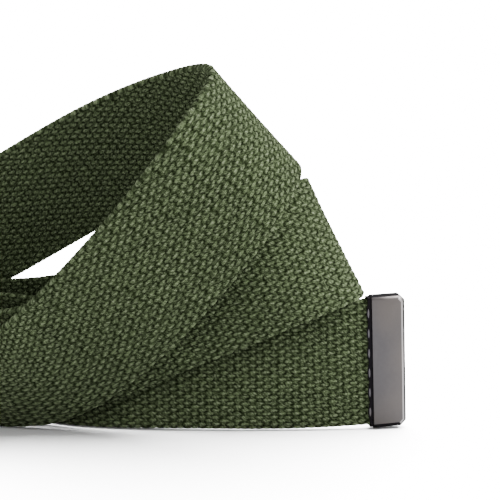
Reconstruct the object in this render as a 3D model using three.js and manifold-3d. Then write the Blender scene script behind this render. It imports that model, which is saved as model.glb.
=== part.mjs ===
// A canvas web belt, loosely coiled on its edge: one long cotton webbing strap, a folded sheet-metal
// end tip on its free end and a plain box buckle on the other end.
// Millimetres, +Z up, standing on z = 0. The strap starts inside the end tip, passes along the front,
// doubles back round the left, rises into the first right-hand loop, doubles back again and rises
// into the second, taller loop before it comes down and runs out to the buckle.
import * as THREE from "three";
import { mergeVertices } from "three/addons/utils/BufferGeometryUtils.js";
import Module from "manifold-3d";

// Driving sizes of the webbing
const WEB_WIDTH = 38;
const WEB_THICKNESS = 2.4;
const EDGE_ROUNDING = 0.7;

// Driving sizes of the coil
const COIL_LENGTH = 200;
const COIL_DEPTH = 40;
const LAYER_GAP = 0.7;

// Driving sizes of the end tip: a sheet-metal cap, crimped in waves along its edge on the webbing
const TIP_LENGTH = 11.65;
const TIP_METAL_THICKNESS = 0.6;
const TIP_CORNER = 1.7;
const TIP_WAVES = 6;
const TIP_WAVE_DEPTH = 0.45;
const TIP_WAVE_MARGIN = 2;

// Driving sizes of the box buckle
const BUCKLE_LENGTH = 40;
const BUCKLE_METAL_THICKNESS = 1.2;
const BUCKLE_BEND_RADIUS = 2;
const BUCKLE_PASSAGE_DEPTH = 5;
const BUCKLE_BAR_DIAMETER = 4;
const BUCKLE_BAR_INSET = 7;
const CLAMP_LENGTH = 12;
const FLANGE_MARGIN = 0.4;

// Room left between the webbing and the metal round it
const CLEARANCE = 0.35;

// How finely the strap is cut into sections
const LONGEST_STEP = 5;
const LARGEST_TURN = THREE.MathUtils.degToRad(9);
const FINE_STEPS = 2000;

// Straight steps in each wave of the tip, in each bend of the buckle and round its bar
const WAVE_STEPS = 6;
const BEND_STEPS = 4;
const BAR_SIDES = 12;

// A row for each place that the strap passes, from its end in the tip to its end in the buckle.
// along: share of COIL_LENGTH, to the right. layer: strap layers behind the tip's own.
// depth: share of COIL_DEPTH, away from the front. height: share of WEB_WIDTH, of the strap's middle.
// tilt: degrees that the upper edge leans to the left. lean: degrees that it leans to the front.
// lift: share of the lift that the metal under the nearer end gives the strap.
const STATIONS = [
  // the tip's end, standing on its edge along the front
  { along: 0.2225, layer: 0, depth: 0.066, height: 0.51, tilt: 1.8, lean: 0, lift: 1 },
  { along: 0.173, layer: 0, depth: 0.026, height: 0.5, tilt: 1.8, lean: 0, lift: 1 },
  { along: 0.07, layer: 0, depth: -0.01, height: 0.5, tilt: 1, lean: 0, lift: 0.15 },
  { along: -0.1, layer: 0, depth: -0.01, height: 0.505, tilt: 0, lean: 0, lift: 0 },
  { along: -0.22, layer: 0, depth: 0.04, height: 0.5, tilt: 0, lean: 0, lift: 0 },
  { along: -0.28, layer: 0, depth: 0.12, height: 0.5, tilt: 0, lean: 0, lift: 0 },
  { along: -0.36, layer: 0, depth: 0.3, height: 0.505, tilt: 0, lean: 0, lift: 0 },
  { along: -0.5, layer: 0, depth: 0.45, height: 0.505, tilt: 0, lean: 0, lift: 0 },
  { along: -0.69, layer: 0, depth: 0.52, height: 0.505, tilt: 0, lean: 0, lift: 0 },
  // the inner turn at the left
  { along: -0.79, layer: 0, depth: 0.73, height: 0.505, tilt: 0, lean: 0, lift: 0 },
  { along: -0.7, layer: 0, depth: 0.95, height: 0.51, tilt: 0, lean: 0, lift: 0 },
  // the first loop's back, rising to the right
  { along: -0.5, layer: 0, depth: 0.9, height: 0.51, tilt: 0, lean: 0, lift: 0 },
  { along: -0.33, layer: 0, depth: 0.8, height: 0.53, tilt: 3, lean: 0, lift: 0 },
  { along: -0.19, layer: 0, depth: 0.69, height: 0.72, tilt: 17, lean: 0, lift: 0 },
  { along: -0.03, layer: 0, depth: 0.53, height: 1.14, tilt: 25, lean: 0, lift: 0 },
  { along: 0.07, layer: 0, depth: 0.33, height: 1.39, tilt: 26, lean: 0, lift: 0 },
  // the first loop's right-hand fold
  { along: 0.1175, layer: 0, depth: 0.0, height: 1.495, tilt: 27, lean: 0, lift: 0 },
  { along: 0.0715, layer: 0, depth: -0.25, height: 1.44, tilt: 26, lean: 1, lift: 0 },
  // the first loop's front, coming down to the left
  { along: -0.06, layer: 0, depth: -0.26, height: 1.14, tilt: 24, lean: 2, lift: 0 },
  { along: -0.17, layer: 0, depth: -0.2, height: 0.88, tilt: 23, lean: 6, lift: 0 },
  { along: -0.27, layer: -1, depth: -0.09, height: 0.62, tilt: 19, lean: 17, lift: 0 },
  { along: -0.36, layer: -1, depth: 0.1, height: 0.5, tilt: 8, lean: 18, lift: 0 },
  { along: -0.5, layer: -1, depth: 0.33, height: 0.505, tilt: 1, lean: 8, lift: 0 },
  { along: -0.72, layer: -1, depth: 0.44, height: 0.505, tilt: 0, lean: 1, lift: 0 },
  // the outer turn at the left
  { along: -0.86, layer: -1, depth: 0.75, height: 0.515, tilt: 3, lean: 0, lift: 0 },
  { along: -0.75, layer: 1, depth: 1.03, height: 0.62, tilt: 16, lean: 5, lift: 0 },
  // the second loop's back, rising to the right
  { along: -0.6, layer: 1, depth: 1.0, height: 0.927, tilt: 27, lean: 13, lift: 0 },
  { along: -0.39, layer: 1, depth: 0.86, height: 1.508, tilt: 31, lean: 20, lift: 0 },
  { along: -0.2, layer: 1, depth: 0.56, height: 2.07, tilt: 31, lean: 24, lift: 0 },
  // the second loop's right-hand fold
  { along: -0.056, layer: 0, depth: 0.24, height: 2.365, tilt: 37, lean: 23, lift: 0 },
  { along: 0.0065, layer: 0, depth: -0.24, height: 2.38, tilt: 42, lean: 19, lift: 0 },
  { along: -0.018, layer: 0, depth: -0.56, height: 2.12, tilt: 45, lean: 20, lift: 0 },
  // the second loop's front, coming down to the left
  { along: -0.087, layer: 0, depth: -0.61, height: 1.63, tilt: 49, lean: 19, lift: 0 },
  { along: -0.18, layer: 0, depth: -0.52, height: 1.075, tilt: 48, lean: 19, lift: 0 },
  { along: -0.24, layer: -1, depth: -0.33, height: 0.765, tilt: 39, lean: 23, lift: 0 },
  { along: -0.32, layer: -1, depth: -0.2, height: 0.475, tilt: 26, lean: 30, lift: 0 },
  { along: -0.4, layer: -2, depth: -0.06, height: 0.402, tilt: 15, lean: 38, lift: 0 },
  // the free stretch that stands up again on its way out to the buckle
  { along: -0.5, layer: -2, depth: -0.04, height: 0.398, tilt: 4, lean: 39, lift: 0 },
  { along: -0.62, layer: -2, depth: 0.0, height: 0.457, tilt: 0, lean: 26, lift: 0.1 },
  { along: -0.76, layer: -2, depth: 0.04, height: 0.495, tilt: 0, lean: 8, lift: 0.6 },
  { along: -0.88, layer: -2, depth: 0.05, height: 0.5, tilt: 0, lean: 0, lift: 1 },
  { along: -0.98, layer: -2, depth: 0.05, height: 0.5, tilt: 0, lean: 0, lift: 1 },
];

// The metal's colours and finishes, and the webbing's
const WEBBING = new THREE.MeshStandardMaterial({ color: 0x3c4a2a, roughness: 0.95, metalness: 0 });
const GUNMETAL = new THREE.MeshStandardMaterial({ color: 0x6d6a6e, roughness: 0.38, metalness: 0.9 });

const wasm = await Module();
wasm.setup();

// A closed geometry as a solid that can be joined and cut.
function solidOf(geometry) {
  const bare = geometry.clone();
  bare.deleteAttribute("normal");
  bare.deleteAttribute("uv");
  const merged = mergeVertices(bare, 1e-4);
  return new wasm.Manifold(
    new wasm.Mesh({
      numProp: 3,
      vertProperties: merged.attributes.position.array,
      triVerts: new Uint32Array(merged.index.array),
    }),
  );
}

// A joined or cut solid as a geometry again.
function geometryOf(solid) {
  const mesh = solid.getMesh();
  const geometry = new THREE.BufferGeometry();
  geometry.setAttribute("position", new THREE.BufferAttribute(mesh.vertProperties, mesh.numProp));
  geometry.setIndex(new THREE.BufferAttribute(mesh.triVerts, 1));
  geometry.computeVertexNormals();
  return geometry;
}

// A smooth curve through rows of numbers, one row at each knot: a natural cubic spline.
function naturalSpline(knots, rows) {
  const last = knots.length - 1;
  const columns = rows[0].length;
  const gap = knots.slice(1).map((k, i) => k - knots[i]);
  const slope = gap.map((g, i) => rows[i].map((v, c) => (rows[i + 1][c] - v) / g));
  const bend = rows.map(() => new Array(columns).fill(0));
  const share = new Array(last + 1).fill(0);
  for (let i = 1; i < last; i++) {
    const pivot = 2 * (gap[i - 1] + gap[i]) - gap[i - 1] * share[i - 1];
    share[i] = gap[i] / pivot;
    for (let c = 0; c < columns; c++)
      bend[i][c] = (6 * (slope[i][c] - slope[i - 1][c]) - gap[i - 1] * bend[i - 1][c]) / pivot;
  }
  for (let i = last - 1; i > 0; i--)
    for (let c = 0; c < columns; c++) bend[i][c] -= share[i] * bend[i + 1][c];
  return (at) => {
    let i = 0;
    while (i < last - 1 && at > knots[i + 1]) i++;
    const b = (at - knots[i]) / gap[i];
    const a = 1 - b;
    return rows[i].map(
      (v, c) =>
        a * v +
        b * rows[i + 1][c] +
        (((a ** 3 - a) * bend[i][c] + (b ** 3 - b) * bend[i + 1][c]) * gap[i] ** 2) / 6,
    );
  };
}

// The strap's place and lean at each station, in millimetres and radians.
function stationRows() {
  const pitch = WEB_THICKNESS + LAYER_GAP;
  const tipLift = TIP_METAL_THICKNESS + CLEARANCE;
  const buckleLift = BUCKLE_METAL_THICKNESS + CLEARANCE;
  return STATIONS.map((s, i) => [
    s.along * COIL_LENGTH,
    s.layer * pitch + s.depth * COIL_DEPTH,
    s.height * WEB_WIDTH + s.lift * (i < STATIONS.length / 2 ? tipLift : buckleLift),
    THREE.MathUtils.degToRad(s.tilt),
    THREE.MathUtils.degToRad(s.lean),
  ]);
}

// The strap's route in small steps: where its middle is, the way ahead, and its width's direction.
function strapRoute() {
  const rows = stationRows();
  const knots = [0];
  for (let i = 1; i < rows.length; i++)
    knots.push(knots[i - 1] + Math.hypot(...[0, 1, 2].map((c) => rows[i][c] - rows[i - 1][c])));
  const at = naturalSpline(knots, rows);
  const points = [];
  for (let i = 0; i <= FINE_STEPS; i++) {
    const [x, y, z, tilt, lean] = at((knots[knots.length - 1] * i) / FINE_STEPS);
    points.push({
      middle: new THREE.Vector3(x, y, z),
      up: new THREE.Vector3(-Math.tan(tilt), -Math.tan(lean), 1),
    });
  }
  points.forEach((p, i) => {
    const before = points[Math.max(0, i - 1)].middle;
    const after = points[Math.min(FINE_STEPS, i + 1)].middle;
    p.ahead = after.clone().sub(before).normalize();
    p.up.addScaledVector(p.ahead, -p.up.dot(p.ahead)).normalize();
    p.out = new THREE.Vector3().crossVectors(p.ahead, p.up);
  });
  return points;
}

// The steps at which the strap gets a section: closer together where it bends or twists.
function sectionsAlong(points) {
  const sections = [points[0]];
  let run = 0;
  for (let i = 1; i < points.length; i++) {
    const p = points[i];
    const last = sections[sections.length - 1];
    run += p.middle.distanceTo(points[i - 1].middle);
    const turned = Math.max(p.ahead.angleTo(last.ahead), p.up.angleTo(last.up));
    if (run < LONGEST_STEP && turned < LARGEST_TURN && i < points.length - 1) continue;
    sections.push(p);
    run = 0;
  }
  return sections;
}

// The webbing's section: a flat band with eased edges, as [across, outward] pairs.
function webbingOutline() {
  const w = WEB_WIDTH / 2;
  const t = WEB_THICKNESS / 2;
  const r = EDGE_ROUNDING;
  return [
    [w - r, t],
    [-w + r, t],
    [-w, t - r],
    [-w, -t + r],
    [-w + r, -t],
    [w - r, -t],
    [w, -t + r],
    [w, t - r],
  ];
}

// The strap: its outline placed at each section, joined into one closed skin.
function strapGeometry(sections) {
  const outline = webbingOutline();
  const n = outline.length;
  const positions = [];
  for (const s of sections)
    for (const [across, outward] of outline) {
      const v = s.middle.clone().addScaledVector(s.up, across).addScaledVector(s.out, outward);
      positions.push(v.x, v.y, v.z);
    }
  const index = [];
  for (let i = 0; i + 1 < sections.length; i++)
    for (let k = 0; k < n; k++) {
      const a = i * n + k;
      const b = i * n + ((k + 1) % n);
      index.push(a, b, a + n, b, b + n, a + n);
    }
  const end = (sections.length - 1) * n;
  for (let k = 1; k + 1 < n; k++) index.push(0, k + 1, k, end, end + k, end + k + 1);
  const geometry = new THREE.BufferGeometry();
  geometry.setAttribute("position", new THREE.Float32BufferAttribute(positions, 3));
  geometry.setIndex(index);
  geometry.computeVertexNormals();
  return geometry;
}

// A frame at one end of the strap: x out of the end, z along the strap's width.
function endFrame(point, outOfEnd, up) {
  const x = outOfEnd.clone().addScaledVector(up, -outOfEnd.dot(up)).normalize();
  const y = new THREE.Vector3().crossVectors(up, x);
  return new THREE.Matrix4().makeBasis(x, y, up).setPosition(point.middle);
}

// A straight-sided solid whose outline is drawn in x and z, and which runs from y = from to y = to.
function plateAcross(shape, from, to) {
  const geometry = new THREE.ExtrudeGeometry(shape, { depth: to - from, bevelEnabled: false });
  geometry.rotateX(Math.PI / 2);
  geometry.translate(0, to, 0);
  return geometry;
}

function box(sx, sy, sz, cx, cy, cz) {
  return new THREE.BoxGeometry(sx, sy, sz).translate(cx, cy, cz);
}

// The end tip: a flat cap over the strap's end, its far corners cut and its near edge in waves.
// Its x = 0 is the strap's end.
function tipGeometry() {
  const reach = TIP_METAL_THICKNESS + CLEARANCE;
  const half = WEB_WIDTH / 2 + reach;
  const near = reach - TIP_LENGTH;
  const shape = new THREE.Shape();
  shape.moveTo(reach - TIP_CORNER, -half);
  shape.lineTo(reach, -half + TIP_CORNER);
  shape.lineTo(reach, half - TIP_CORNER);
  shape.lineTo(reach - TIP_CORNER, half);
  shape.lineTo(near + TIP_WAVE_DEPTH, half);
  const steps = TIP_WAVES * WAVE_STEPS;
  const top = half - TIP_WAVE_MARGIN;
  for (let i = 0; i <= steps; i++) {
    const wave = (1 + Math.cos((2 * Math.PI * TIP_WAVES * i) / steps)) / 2;
    shape.lineTo(near + TIP_WAVE_DEPTH * wave, top - (2 * top * i) / steps);
  }
  shape.lineTo(near + TIP_WAVE_DEPTH, -half);
  const deep = WEB_THICKNESS / 2 + reach;
  const cap = solidOf(plateAcross(shape, -deep, deep));
  const room = WEB_WIDTH + 2 * CLEARANCE;
  const pocket = solidOf(
    box(TIP_LENGTH * 2, WEB_THICKNESS + 2 * CLEARANCE, room, CLEARANCE - TIP_LENGTH, 0, 0),
  );
  return geometryOf(cap.subtract(pocket));
}

// The buckle's channel of sheet metal, open at both ends, from x = near to x = near + BUCKLE_LENGTH.
function channelGeometry(face, back, half, near) {
  const bend = BUCKLE_BEND_RADIUS;
  const wall = BUCKLE_METAL_THICKNESS;
  const profile = new THREE.Shape();
  const corner = (cx, r, from, to) => profile.absarc(cx, face - bend, r, from, to, from > to);
  profile.moveTo(-half, back);
  profile.lineTo(-half, face - bend);
  corner(-half + bend, bend, Math.PI, Math.PI / 2);
  corner(half - bend, bend, Math.PI / 2, 0);
  profile.lineTo(half, back);
  profile.lineTo(half - wall, back);
  corner(half - bend, bend - wall, 0, Math.PI / 2);
  corner(-half + bend, bend - wall, Math.PI / 2, Math.PI);
  profile.lineTo(-half + wall, back);
  const channel = new THREE.ExtrudeGeometry(profile, {
    depth: BUCKLE_LENGTH,
    bevelEnabled: false,
    curveSegments: BEND_STEPS,
  });
  // the profile's x is the buckle's height and its y the buckle's depth
  channel.applyMatrix4(
    new THREE.Matrix4().makeBasis(
      new THREE.Vector3(0, 0, 1),
      new THREE.Vector3(0, 1, 0),
      new THREE.Vector3(-1, 0, 0),
    ),
  );
  return channel.translate(near + BUCKLE_LENGTH, 0, 0);
}

// The box buckle: the channel, with a clamp plate over the strap's end and a fixed bar across its
// far end. Its x = 0 is the strap's end and its face is at +y.
function buckleGeometry() {
  const wall = BUCKLE_METAL_THICKNESS;
  const radius = BUCKLE_BAR_DIAMETER / 2;
  const face = WEB_THICKNESS / 2 + CLEARANCE + wall;
  const back = face - wall - BUCKLE_PASSAGE_DEPTH - BUCKLE_BAR_DIAMETER - FLANGE_MARGIN;
  const half = WEB_WIDTH / 2 + CLEARANCE + wall;
  const near = -CLAMP_LENGTH;
  const height = 2 * half - wall;
  const clampMiddle = -WEB_THICKNESS / 2 - CLEARANCE - wall / 2;
  const clamp = box(CLAMP_LENGTH, wall, height, near / 2, clampMiddle, 0);
  const bar = new THREE.CylinderGeometry(radius, radius, height, BAR_SIDES);
  bar.rotateX(Math.PI / 2);
  bar.translate(near + BUCKLE_LENGTH - BUCKLE_BAR_INSET, back + FLANGE_MARGIN + radius, 0);
  const channel = channelGeometry(face, back, half, near);
  return geometryOf(solidOf(channel).add(solidOf(clamp)).add(solidOf(bar)));
}

function namedMesh(name, geometry, material) {
  const mesh = new THREE.Mesh(geometry, material);
  mesh.name = name;
  return mesh;
}

const points = strapRoute();
const strap = namedMesh("webbing_strap", strapGeometry(sectionsAlong(points)), WEBBING);

const start = points[0];
const tip = namedMesh("end_tip", tipGeometry(), GUNMETAL);
endFrame(start, start.ahead.clone().negate(), start.up).decompose(tip.position, tip.quaternion, tip.scale);

// the buckle stands upright whatever small slope the strap's end has
const finish = points[points.length - 1];
const buckle = namedMesh("box_buckle", buckleGeometry(), GUNMETAL);
endFrame(finish, finish.ahead, new THREE.Vector3(0, 0, 1)).decompose(
  buckle.position,
  buckle.quaternion,
  buckle.scale,
);

const belt = new THREE.Group();
belt.add(strap, tip, buckle);

// The origin is the middle of the footprint, at the height of whatever the belt stands on.
belt.updateMatrixWorld(true);
const bounds = new THREE.Box3().setFromObject(belt, true);
const middle = bounds.getCenter(new THREE.Vector3());
belt.children.forEach((piece) => piece.position.sub(new THREE.Vector3(middle.x, middle.y, bounds.min.z)));

export default belt;
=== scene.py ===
"""A canvas web belt, loosely coiled on its edge: a strap of plain-woven webbing, a crimped sheet-metal
tip on its free end and a plain box buckle on the other end. Metres, +Z up, standing on z = 0."""

import math

import bmesh
import bpy
import numpy as np
from mathutils import Matrix, Vector


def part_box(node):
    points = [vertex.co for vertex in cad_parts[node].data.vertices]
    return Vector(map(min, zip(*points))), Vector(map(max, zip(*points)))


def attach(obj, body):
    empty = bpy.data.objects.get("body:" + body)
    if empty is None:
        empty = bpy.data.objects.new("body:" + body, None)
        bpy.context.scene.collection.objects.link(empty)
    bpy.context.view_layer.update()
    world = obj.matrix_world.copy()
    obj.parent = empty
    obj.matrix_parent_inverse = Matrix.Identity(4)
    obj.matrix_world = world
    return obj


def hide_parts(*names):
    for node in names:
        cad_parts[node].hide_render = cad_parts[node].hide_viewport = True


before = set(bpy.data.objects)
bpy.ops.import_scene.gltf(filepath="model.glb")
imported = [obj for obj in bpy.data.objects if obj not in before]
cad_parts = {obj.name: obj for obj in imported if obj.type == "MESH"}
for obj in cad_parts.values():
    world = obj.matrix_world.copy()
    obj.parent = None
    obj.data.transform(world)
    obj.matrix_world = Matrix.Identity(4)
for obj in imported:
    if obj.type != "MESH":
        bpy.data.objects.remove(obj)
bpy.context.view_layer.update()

bl_info = {
    "name": "Canvas Web Belt",
    "version": (1, 0, 0),
    "blender": (4, 5, 0),
    "location": "3D View > Sidebar > Web Belt",
    "description": "Builds a coiled canvas web belt with its end tip, box buckle and a pale studio stage",
    "category": "Object",
}

MM = 0.001

# A row for each place that the strap passes, from its end in the tip to its end in the buckle:
# along (share of the coil's length), layer (strap layers behind the tip's own), depth (share of the
# coil's depth), height (share of the webbing's width), tilt and lean (degrees that the upper edge
# leans to the left and to the front), lift (share of the lift of the metal under the nearer end).
STATIONS = [
    # the tip's end, standing on its edge along the front
    (0.2225, 0, 0.066, 0.51, 1.8, 0, 1),
    (0.173, 0, 0.026, 0.5, 1.8, 0, 1),
    (0.07, 0, -0.01, 0.5, 1, 0, 0.15),
    (-0.1, 0, -0.01, 0.505, 0, 0, 0),
    (-0.22, 0, 0.04, 0.5, 0, 0, 0),
    (-0.28, 0, 0.12, 0.5, 0, 0, 0),
    (-0.36, 0, 0.3, 0.505, 0, 0, 0),
    (-0.5, 0, 0.45, 0.505, 0, 0, 0),
    (-0.69, 0, 0.52, 0.505, 0, 0, 0),
    # the inner turn at the left
    (-0.79, 0, 0.73, 0.505, 0, 0, 0),
    (-0.7, 0, 0.95, 0.51, 0, 0, 0),
    # the first loop's back, rising to the right
    (-0.5, 0, 0.9, 0.51, 0, 0, 0),
    (-0.33, 0, 0.8, 0.53, 3, 0, 0),
    (-0.19, 0, 0.69, 0.72, 17, 0, 0),
    (-0.03, 0, 0.53, 1.14, 25, 0, 0),
    (0.07, 0, 0.33, 1.39, 26, 0, 0),
    # the first loop's right-hand fold
    (0.1175, 0, 0.0, 1.495, 27, 0, 0),
    (0.0715, 0, -0.25, 1.44, 26, 1, 0),
    # the first loop's front, coming down to the left
    (-0.06, 0, -0.26, 1.14, 24, 2, 0),
    (-0.17, 0, -0.2, 0.88, 23, 6, 0),
    (-0.27, -1, -0.09, 0.62, 19, 17, 0),
    (-0.36, -1, 0.1, 0.5, 8, 18, 0),
    (-0.5, -1, 0.33, 0.505, 1, 8, 0),
    (-0.72, -1, 0.44, 0.505, 0, 1, 0),
    # the outer turn at the left
    (-0.86, -1, 0.75, 0.515, 3, 0, 0),
    (-0.75, 1, 1.03, 0.62, 16, 5, 0),
    # the second loop's back, rising to the right
    (-0.6, 1, 1.0, 0.927, 27, 13, 0),
    (-0.39, 1, 0.86, 1.508, 31, 20, 0),
    (-0.2, 1, 0.56, 2.07, 31, 24, 0),
    # the second loop's right-hand fold
    (-0.056, 0, 0.24, 2.365, 37, 23, 0),
    (0.0065, 0, -0.24, 2.38, 42, 19, 0),
    (-0.018, 0, -0.56, 2.12, 45, 20, 0),
    # the second loop's front, coming down to the left
    (-0.087, 0, -0.61, 1.63, 49, 19, 0),
    (-0.18, 0, -0.52, 1.075, 48, 19, 0),
    (-0.24, -1, -0.33, 0.765, 39, 23, 0),
    (-0.32, -1, -0.2, 0.475, 26, 30, 0),
    (-0.4, -2, -0.06, 0.402, 15, 38, 0),
    # the free stretch that stands up again on its way out to the buckle
    (-0.5, -2, -0.04, 0.398, 4, 39, 0),
    (-0.62, -2, 0.0, 0.457, 0, 26, 0.1),
    (-0.76, -2, 0.04, 0.495, 0, 8, 0.6),
    (-0.88, -2, 0.05, 0.5, 0, 0, 1),
    (-0.98, -2, 0.05, 0.5, 0, 0, 1),
]

# What the stations are shares of, how far the tip and the buckle lift the strap off the floor, and
# how finely the curve through the stations is followed
COIL_LENGTH = 200 * MM
COIL_DEPTH = 40 * MM
LAYER_PITCH = 3.1 * MM
TIP_LIFT = 0.95 * MM
BUCKLE_LIFT = 1.55 * MM
FINE_STEPS = 6000

# Room left between the webbing and the metal round it, and a length too short to matter
CLEARANCE = 0.35 * MM
HAIR = 0.01 * MM

# How much of a direction lies along an axis when it runs along it, and when it runs across it
ALONG = 0.9
ACROSS = 0.1

# The seed of the threads' unevenness, the range of the nubs' fullness, and the places round a
# selvedge, in degrees from the outer face
SEED = 11
NUB_FULLNESS = (0.7, 1.3)
SELVEDGE_TURNS = (45, 90, 135)

# The look of the weave. Places and sizes are in thread spaces, from the middle of a nub or of a
# crosswise crown, and for the groove from the middle of its thread. Heights are shares of a nub's.
WEAVE_LOOK = {
    "Nub length": 0.47,
    "Nub width": 0.57,
    "Cross height": 0.35,
    "Slant": 0.15,
    "Wobble": 0.35,
    "Groove": 0.45,
}
CROWN_POWER = 1.7
CROSS_LENGTH = 0.26
CROSS_WIDTH = 0.36
STRAY_ALONG = 0.1
STRAY_ACROSS = 0.12
NUB_TALLNESS = (0.65, 1.15)
NUB_WHOLE_FROM = 0.95
GROOVE_FROM = 0.24
GROOVE_DEEPEST = 0.5
WANDER_SCALE = 0.7
# The fibres lie aslant: each row holds the shares of the along and across places in one coordinate
FIBRE_WAYS = [
    (1.6, 0.8),
    (-2.6, 1.5),
]
FIBRE_SCALE = 1.2
FIBRE_SPREAD = (0.38, 0.62)
FIBRE_HEIGHT = 0.25

# How light the nubs and the fibres are, as shares of their colours, where the pale fibres and painted
# glints begin on the nubs and how much they show, and how deep the relief is
NUB_LIGHT = (0.85, 1.15)
FIBRE_LIGHT = (0.4, 1.45)
FIBRE_GLINT_FROM = 0.6
FIBRE_GLINT_SHARE = 0.5
RELIEF = 0.5 * MM

# The cotton's dull surface, and what its nubs have more of than its grooves
COTTON = {
    "Roughness": 0.9,
    "Sheen Roughness": 0.4,
    "Sheen Tint": (0.85, 1.0, 0.6, 1),
}
NUB_SHINE = {
    "Specular IOR Level": 0.2,
    "Sheen Weight": 0.35,
}

# The satin metals' tones as shares of their colours, and the scale and spread of their clouds of
# painted reflection and of their grain
COOL_TONE = (0.78, 0.8, 0.86)
WARM_TONE = (1.12, 1.08, 1.04)
CLOUD_SCALE = 45
CLOUD_SPREAD = (0.35, 0.65)
GRAIN_SCALE = 900
GRAIN_SPREAD = (0.3, 0.7)

# The floor's own two lights: the way to each, how wide a disc it is in degrees and its share of the
# floor's paleness. One stands high behind the belt, and a faint one reaches under it from in front.
FLOOR_SUNS = [
    ("floor_sun", (0.12, 0.28, 1.0), 80, 1.06),
    ("floor_glow", (0.0, -0.7, 0.7), 120, 0.03),
]

# The lamps on the belt: the way to each from the middle of the view, its distance and its width in
# metres, and its power in watts
LAMPS = [
    ("key", (0.95, -0.34, 0.75), 0.9, 0.5, 14.5),
    ("fill", (-0.7, -0.8, 0.1), 1.2, 0.8, 5.5),
    ("top", (0.05, 0.3, 0.95), 1.0, 0.9, 7.5),
]

# The floor's width in metres, the camera sensor's width in millimetres, and how near, in metres, the
# camera sees
FLOOR_WIDTH = 12
SENSOR_WIDTH = 36
NEAREST_SEEN = 0.01

# Angles between faces above which an edge is sharp
SHARP_ON_SHEET = math.radians(40)
SHARP_ON_CRIMP = math.radians(60)

# How many sides the round bar has, and how wide the small bevels on sharp edges are, as shares of
# the metal's thickness
BAR_SIDES = 32
CAP_BEVEL = 0.15
LIP_BEVEL = 0.2
SHEET_BEVEL = 0.18
BAR_BEVEL = 0.1

# The crimped lip's metal, how far it reaches into the cap, its plain ends, the steps of one wave,
# and the marks on it, whose bevel is a share of their width
LIP_METAL = 0.3 * MM
LIP_OVERLAP = 0.8 * MM
LIP_MARGIN = 1.65 * MM
CRIMP_STEPS = 9
MARK_SIDES = 16
MARK_WIDTH = 0.6 * MM
MARK_HEIGHT = 2.7 * MM
MARK_RISE = 0.08 * MM
MARK_INSET = 0.55 * MM
MARK_BEVEL = 0.2

# What every length and every colour that can be set has in common
LENGTH = {"subtype": "DISTANCE", "unit": "LENGTH"}
COLOUR = {"subtype": "COLOR", "size": 4, "min": 0, "max": 1}


class WebbingSettings(bpy.types.PropertyGroup):
    """Sizes and colours of the strap's webbing."""

    width: bpy.props.FloatProperty(
        name="Width", description="Width of the webbing", default=38 * MM, **LENGTH
    )
    thickness: bpy.props.FloatProperty(
        name="Thickness",
        description="Thickness of the webbing without its nubs",
        default=2.4 * MM,
        **LENGTH,
    )
    edge_rounding: bpy.props.FloatProperty(
        name="Edge rounding",
        description="How far in from the edge the selvedge begins to round",
        default=0.6 * MM,
        **LENGTH,
    )
    pick_pitch: bpy.props.FloatProperty(
        name="Pick pitch",
        description="Distance along the strap from one crosswise thread to the next",
        default=2.1 * MM,
        **LENGTH,
    )
    ends: bpy.props.IntProperty(
        name="Ends", description="Number of lengthwise thread spaces across the strap", default=35, min=8
    )
    nub_height: bpy.props.FloatProperty(
        name="Nub height",
        description="Height of the woven nubs above and below the middle of the face",
        default=0.14 * MM,
        **LENGTH,
    )
    unevenness: bpy.props.FloatProperty(
        name="Unevenness",
        description="How far the threads stray from their places",
        default=0.07 * MM,
        **LENGTH,
    )
    nub_colour: bpy.props.FloatVectorProperty(
        name="Nub colour",
        description="Colour of the threads where they lie on top",
        default=(0.117, 0.159, 0.073, 1),
        **COLOUR,
    )
    # Partly painted highlight: the pale stray fibres on the nubs also stand in for glints of light.
    fibre_and_glint_colour: bpy.props.FloatVectorProperty(
        name="Fibre colour",
        description="Colour of the pale fibres that stray from the threads",
        default=(0.21, 0.225, 0.165, 1),
        **COLOUR,
    )
    # Painted shade: the grooves' colour is made far darker than the threads' to stand in for the shade
    # between them.
    painted_groove_shade_colour: bpy.props.FloatVectorProperty(
        name="Groove colour",
        description="Colour deep between the threads",
        default=(0.012, 0.019, 0.006, 1),
        **COLOUR,
    )


class TipSettings(bpy.types.PropertyGroup):
    """Sizes and colours of the sheet-metal end tip."""

    length: bpy.props.FloatProperty(
        name="Length", description="Length of the tip along the strap", default=11.65 * MM, **LENGTH
    )
    metal: bpy.props.FloatProperty(
        name="Metal", description="Thickness of the tip's sheet metal", default=0.6 * MM, **LENGTH
    )
    corner: bpy.props.FloatProperty(
        name="Corner", description="How much is cut off the two far corners", default=1.7 * MM, **LENGTH
    )
    fold: bpy.props.FloatProperty(
        name="Fold", description="Radius of the tip's folded edges", default=1.35 * MM, **LENGTH
    )
    lip: bpy.props.FloatProperty(
        name="Lip",
        description="Width of the crimped lip that grips the webbing",
        default=1.1 * MM,
        **LENGTH,
    )
    crimps: bpy.props.IntProperty(
        name="Crimps", description="Number of crimps along each side of the lip", default=6, min=1
    )
    crimp_depth: bpy.props.FloatProperty(
        name="Crimp depth",
        description="How far each crimp bulges onto the webbing",
        default=0.45 * MM,
        **LENGTH,
    )
    face_colour: bpy.props.FloatVectorProperty(
        name="Face colour",
        description="Colour of the satin metal",
        default=(0.208, 0.193, 0.187, 1),
        **COLOUR,
    )
    # Painted shade on the tip's turned faces; the lip is this dark all over.
    dark_lip_and_painted_shade_colour: bpy.props.FloatVectorProperty(
        name="Dark colour",
        description="Colour of the blackened folds and lip",
        default=(0.018, 0.016, 0.018, 1),
        **COLOUR,
    )
    worn_colour: bpy.props.FloatVectorProperty(
        name="Worn colour",
        description="Colour of the crimps where the black is worn thin",
        default=(0.2, 0.185, 0.19, 1),
        **COLOUR,
    )
    # Painted highlight: a pale colour on the far folds, where they catch the light.
    painted_highlight_colour: bpy.props.FloatVectorProperty(
        name="Bright colour",
        description="Colour of the far folds where they are worn bright",
        default=(0.68, 0.66, 0.65, 1),
        **COLOUR,
    )


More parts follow.
